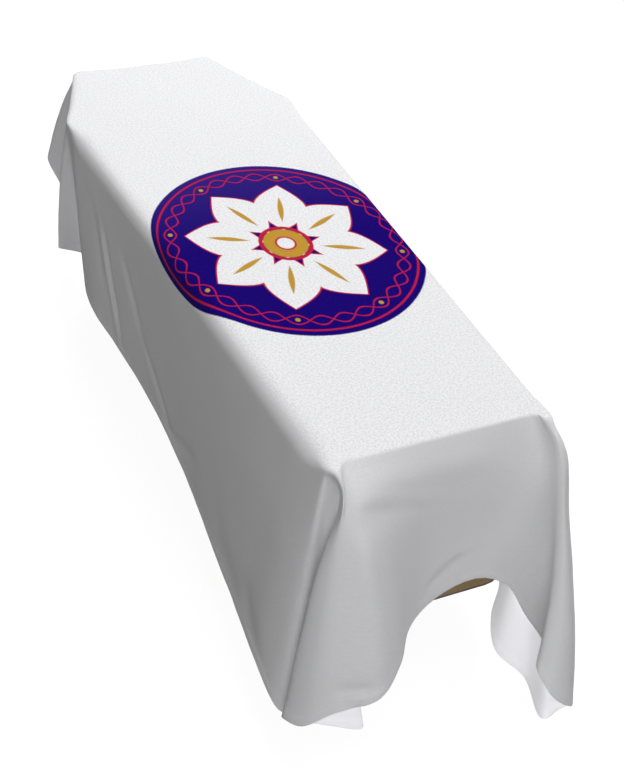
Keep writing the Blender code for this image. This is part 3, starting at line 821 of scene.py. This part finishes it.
def cloth_material(name, white, printed):
    """Return the cloth's material, with the medallion where it is printed."""
    tree = Tree(name)
    flat = tree.uv("Flat")
    cloudy = tree.noise(flat, 5.0, 3.0)
    speck = tree.step(tree.noise(flat, 210.0, 2.0, 0.7), 0.60, 0.36)
    # Painted shade: the specks darken the cloth most on faces turned up and fade out on the sides.
    _, _, level = tree.split(tree.nodes.new("ShaderNodeNewGeometry").outputs["Normal"])
    pile = tree.math("ADD", tree.math("MULTIPLY", tree.step(level, 0.5, 0.98), 0.85), 0.15)
    shade = tuple(channel * PILE_SHADE for channel in white)
    colour = tree.mix(tree.math("MULTIPLY", speck, pile), white, shade)
    colour = tree.mix(tree.math("MULTIPLY", cloudy, 0.10), colour, shade)
    along, off, _ = tree.split(tree.uv("Hem"))
    stitch = tree.math("SINE", tree.math("MULTIPLY", along, 2 * math.pi / STITCH))
    from_seam = tree.math("ABSOLUTE", tree.math("SUBTRACT", off, HEM_WIDTH - SEAM_IN))
    at_seam = tree.step(from_seam, SEAM_HALF[1], SEAM_HALF[0])
    stitches = tree.math("MULTIPLY", at_seam, tree.step(stitch, -0.5, 0.1))
    if printed:
        colour = medallion(tree, flat, colour)
    colour = tree.mix(tree.math("MULTIPLY", stitches, 0.6), colour, THREAD)
    normal = tree.bump(weave_height(tree, flat), 0.35, 0.0008)
    normal = tree.bump(tree.math("SUBTRACT", stitches, at_seam), 0.5, 0.0006, normal)
    tree.shade(Base_Color=colour, Roughness=0.92, Sheen_Weight=0.015, Sheen_Roughness=0.5,
               Specular_IOR_Level=0.015, Normal=normal)
    # Painted light: the inside of the cloth glows, standing in for light that comes through it.
    if not printed:
        tree.shade(Emission_Color=white, Emission_Strength=INSIDE_PAINTED_GLOW)
    return tree.material


def wood_material(name, colours, roughness, along, edge=None):
    """Return a wood with its grain along an axis, 0 to 2 for X to Z, and dark with painted shade below
    its edge.
    """
    tree = Tree(name)
    place = tree.nodes.new("ShaderNodeTexCoord").outputs["Object"]

    def grain(scale):
        return tree.stretch(place, tuple(scale[1] if axis == along else scale[0] for axis in range(3)))

    rings = tree.nodes.new("ShaderNodeTexWave")
    rings.wave_type = "BANDS"
    rings.bands_direction = "Z" if along != 2 else "X"
    rings.inputs["Scale"].default_value = 1.4
    rings.inputs["Distortion"].default_value = 6.0
    rings.inputs["Detail"].default_value = 3.0
    tree.set(rings.inputs["Vector"], grain(RING_SCALE))
    fibre = tree.noise(grain(FIBRE_SCALE), 1.0, 4.0, 0.6)
    cloudy = tree.noise(place, 4.0, 3.0)
    figure = tree.math("MULTIPLY", tree.math("ADD", rings.outputs["Fac"], cloudy), 0.5)
    colour = tree.mix(tree.math("MULTIPLY", figure, 0.75), colours[0], colours[1])
    pores = tree.step(fibre, 0.36, 0.50)
    dark = tuple(channel * 0.5 for channel in colours[1])
    colour = tree.mix(tree.math("MULTIPLY", tree.math("SUBTRACT", 1.0, pores), 0.45), colour, dark)
    # Painted shade: the wood turns dark below the edge height, as the shade under the coffin.
    if edge is not None:
        _, _, level = tree.split(place)
        colour = tree.mix(tree.step(level, edge + 0.001, edge - 0.001), colour, EDGE_PAINTED_SHADE)
    rough = tree.math("ADD", tree.math("MULTIPLY", fibre, 0.18), roughness - 0.09)
    tree.shade(Base_Color=colour, Roughness=rough, Coat_Weight=0.05, Coat_Roughness=0.35,
               Normal=tree.bump(fibre, 0.25, 0.0006))
    return tree.material


def make_drape():
    """Make the drape and put it in place of its plain solid."""
    mesh, band = drape_sheet()
    drape = bpy.data.objects.new("drape_cloth", mesh)
    bpy.context.scene.collection.objects.link(drape)
    drape.location = Vector((0, 0, TOP_HEIGHT - CAD_CLOTH / 2)) - MIDDLE
    mesh.materials.append(cloth_material("cloth outside", CLOTH_WHITE, True))
    mesh.materials.append(cloth_material("cloth inside", INSIDE_WHITE, False))
    group = drape.vertex_groups.new(name="hem")
    group.add(list(range(len(mesh.vertices))), SHEET / HEM_SHEET, "REPLACE")
    group.add(band, 1.0, "REPLACE")
    thick = drape.modifiers.new("Cloth", "SOLIDIFY")
    thick.thickness = HEM_SHEET
    thick.offset = 0.0
    thick.vertex_group = "hem"
    thick.material_offset = 1
    thick.material_offset_rim = 0
    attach(drape, "root")
    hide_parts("drape")


def dress_wood():
    """Give the coffin and its rests their wood."""
    body = bpy.data.objects["coffin_body"]
    underside = min(corner[2] for corner in body.bound_box)
    long_wood = wood_material("coffin wood", COFFIN_WOOD, 0.42, 1)
    # The body's wood has painted shade along its lower edge.
    edge_shaded_wood = wood_material("coffin body wood", COFFIN_WOOD, 0.42, 1, underside + EDGE_SHADE_BAND)
    rail_wood = wood_material("rest rail wood", REST_WOOD, 0.6, 0)
    leg_wood = wood_material("rest leg wood", REST_WOOD, 0.6, 2)
    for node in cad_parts:
        if node == "drape":
            continue
        thing = bpy.data.objects[node]
        wood = long_wood if node.startswith("coffin") else leg_wood if "leg" in node else rail_wood
        if thing is body:
            wood = edge_shaded_wood
        for slot in thing.material_slots:
            slot.material = wood


def add_light(name, light, direction):
    """Add a light that shines from a direction."""
    lamp = bpy.data.objects.new(name, light)
    lamp.rotation_euler = Vector(direction).to_track_quat("Z", "Y").to_euler()
    bpy.context.scene.collection.objects.link(lamp)
    return lamp


def make_stage():
    """Make the pale floor, the soft lights and the world."""
    bpy.ops.mesh.primitive_plane_add(size=FLOOR_SIZE)
    floor = bpy.context.object
    floor.name = "floor"
    tree = Tree("pale floor")
    tree.shade(Base_Color=FLOOR, Roughness=0.9, Emission_Color=(1.0, 1.0, 1.0),
               Emission_Strength=FLOOR_GLOW)
    floor.data.materials.append(tree.material)
    floor.visible_diffuse = False
    for name, direction, strength, width in LIGHTS:
        light = bpy.data.lights.new(name, "SUN")
        light.energy = strength
        light.angle = math.radians(width)
        add_light(name, light, direction)
    light = bpy.data.lights.new("head light", "AREA")
    light.energy = HEAD_LIGHT_POWER
    light.size = HEAD_LIGHT_SIZE
    lamp = add_light("head light", light, HEAD_LIGHT_DIRECTION)
    lamp.location = Vector(HEAD_LIGHT_PLACE) + Vector((0, 0, TOP_HEIGHT))
    world = bpy.data.worlds.new("studio")
    bpy.context.scene.world = world
    world.use_nodes = True
    background = world.node_tree.nodes["Background"]
    background.inputs["Color"].default_value = (1.0, 1.0, 1.0, 1.0)
    background.inputs["Strength"].default_value = WORLD_STRENGTH
    world.cycles_visibility.diffuse = False
    world.cycles_visibility.glossy = False
    bpy.context.scene.view_settings.view_transform = "Standard"


def make_camera():
    """Make the camera at the photo's angle."""
    lens = bpy.data.cameras.new("camera")
    lens.sensor_fit = "VERTICAL"
    lens.sensor_height = SENSOR_HEIGHT
    lens.lens = CAMERA_LENS
    lens.clip_start = 0.05
    camera = bpy.data.objects.new("camera", lens)
    turn = (Matrix.Rotation(math.radians(-CAMERA_AZIMUTH), 4, "Z")
            @ Matrix.Rotation(math.radians(90 - CAMERA_ELEVATION), 4, "X")
            @ Matrix.Rotation(math.radians(CAMERA_ROLL), 4, "Z"))
    place = Vector(CAMERA_PLACE) - MIDDLE + Vector((0, 0, TOP_HEIGHT))
    camera.matrix_world = Matrix.Translation(place) @ turn
    bpy.context.scene.collection.objects.link(camera)
    bpy.context.scene.camera = camera


make_camera()
make_drape()
dress_wood()
make_stage()
